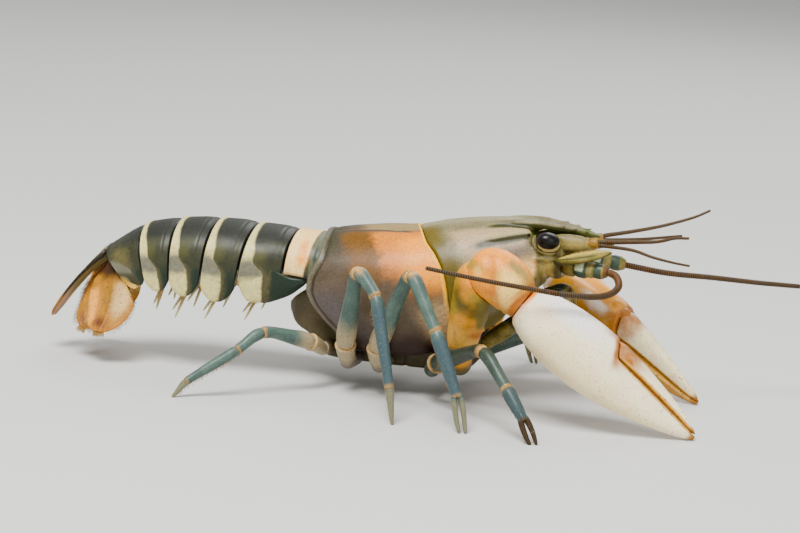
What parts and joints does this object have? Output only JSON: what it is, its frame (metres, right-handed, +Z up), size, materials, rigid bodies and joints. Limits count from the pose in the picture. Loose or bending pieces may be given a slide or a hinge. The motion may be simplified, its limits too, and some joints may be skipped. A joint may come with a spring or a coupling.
{
  "type": "zebra crayfish",
  "caption": "Life-size zebra crayfish (Cherax peknyi) standing on its legs, with both claws held low in front and the tail fan tucked.",
  "frame": {"origin": "on the floor, under the middle of the whole model's box", "axes": "+X is the way the animal faces, +Y its left side, +Z up"},
  "size_m": [0.1752, 0.0862, 0.0382],
  "materials": {
    "shell_back": "smooth shell, mottled orange-tan above to red-brown below",
    "shell_head": "smooth shell, beige-grey and olive, speckled",
    "shell_tail": "smooth dark olive shell with a cream band across each ring",
    "belly": "soft brown underside plates",
    "tail_fan": "thin orange plates with a paler middle and a hair fringe",
    "claw_white": "smooth white shell with faint dark specks",
    "claw_orange": "smooth orange to peach shell with olive patches",
    "leg_blue": "turquoise-blue shell with cream to orange joints",
    "feeler": "red-brown with fine dark rings",
    "face": "yellow-olive shell with teal-blue patches",
    "eye": "glossy black-violet"
  },
  "bodies": {
    "root": {"thorax": "shell_back", "head": "shell_head", "sternum": "belly", "eyestalk_right": "face", "eyestalk_left": "face", "eye_right": "eye", "eye_left": "eye", "maxilliped_right": "face", "maxilliped_left": "face", "antennule_right": "face", "antennule_left": "face", "antenna_right_base": "face", "antenna_left_base": "face", "antenna_right_curl": "feeler", "antenna_right_back": "feeler", "antenna_left_near": "feeler", "antenna_left_far": "feeler", "claw_right_root": "claw_orange", "claw_left_root": "claw_orange", "claw_right_arm": "claw_orange", "claw_left_arm": "claw_orange", "claw_right_wrist": "claw_orange", "claw_left_wrist": "claw_orange", "claw_right_palm": "claw_white", "claw_left_palm": "claw_white", "claw_right_finger": "claw_white", "claw_left_finger": "claw_white", "leg2_right_upper": "leg_blue", "leg2_left_upper": "leg_blue", "leg2_right_lower": "leg_blue", "leg2_left_lower": "leg_blue", "leg3_right_upper": "leg_blue", "leg3_left_upper": "leg_blue", "leg3_right_lower": "leg_blue", "leg3_left_lower": "leg_blue", "leg4_right_upper": "leg_blue", "leg4_left_upper": "leg_blue", "leg4_right_lower": "leg_blue", "leg4_left_lower": "leg_blue", "leg5_right_upper": "leg_blue", "leg5_left_upper": "leg_blue", "leg5_right_lower": "leg_blue", "leg5_left_lower": "leg_blue", "pleon_1": "shell_tail", "pleon_2": "shell_tail", "pleon_3": "shell_tail", "pleon_4": "shell_tail", "pleon_5": "shell_tail", "pleon_6": "shell_tail", "telson": "tail_fan", "uropod_inner_right": "tail_fan", "uropod_inner_left": "tail_fan", "uropod_outer_right": "tail_fan", "uropod_outer_left": "tail_fan"}
  },
  "joints": []
}
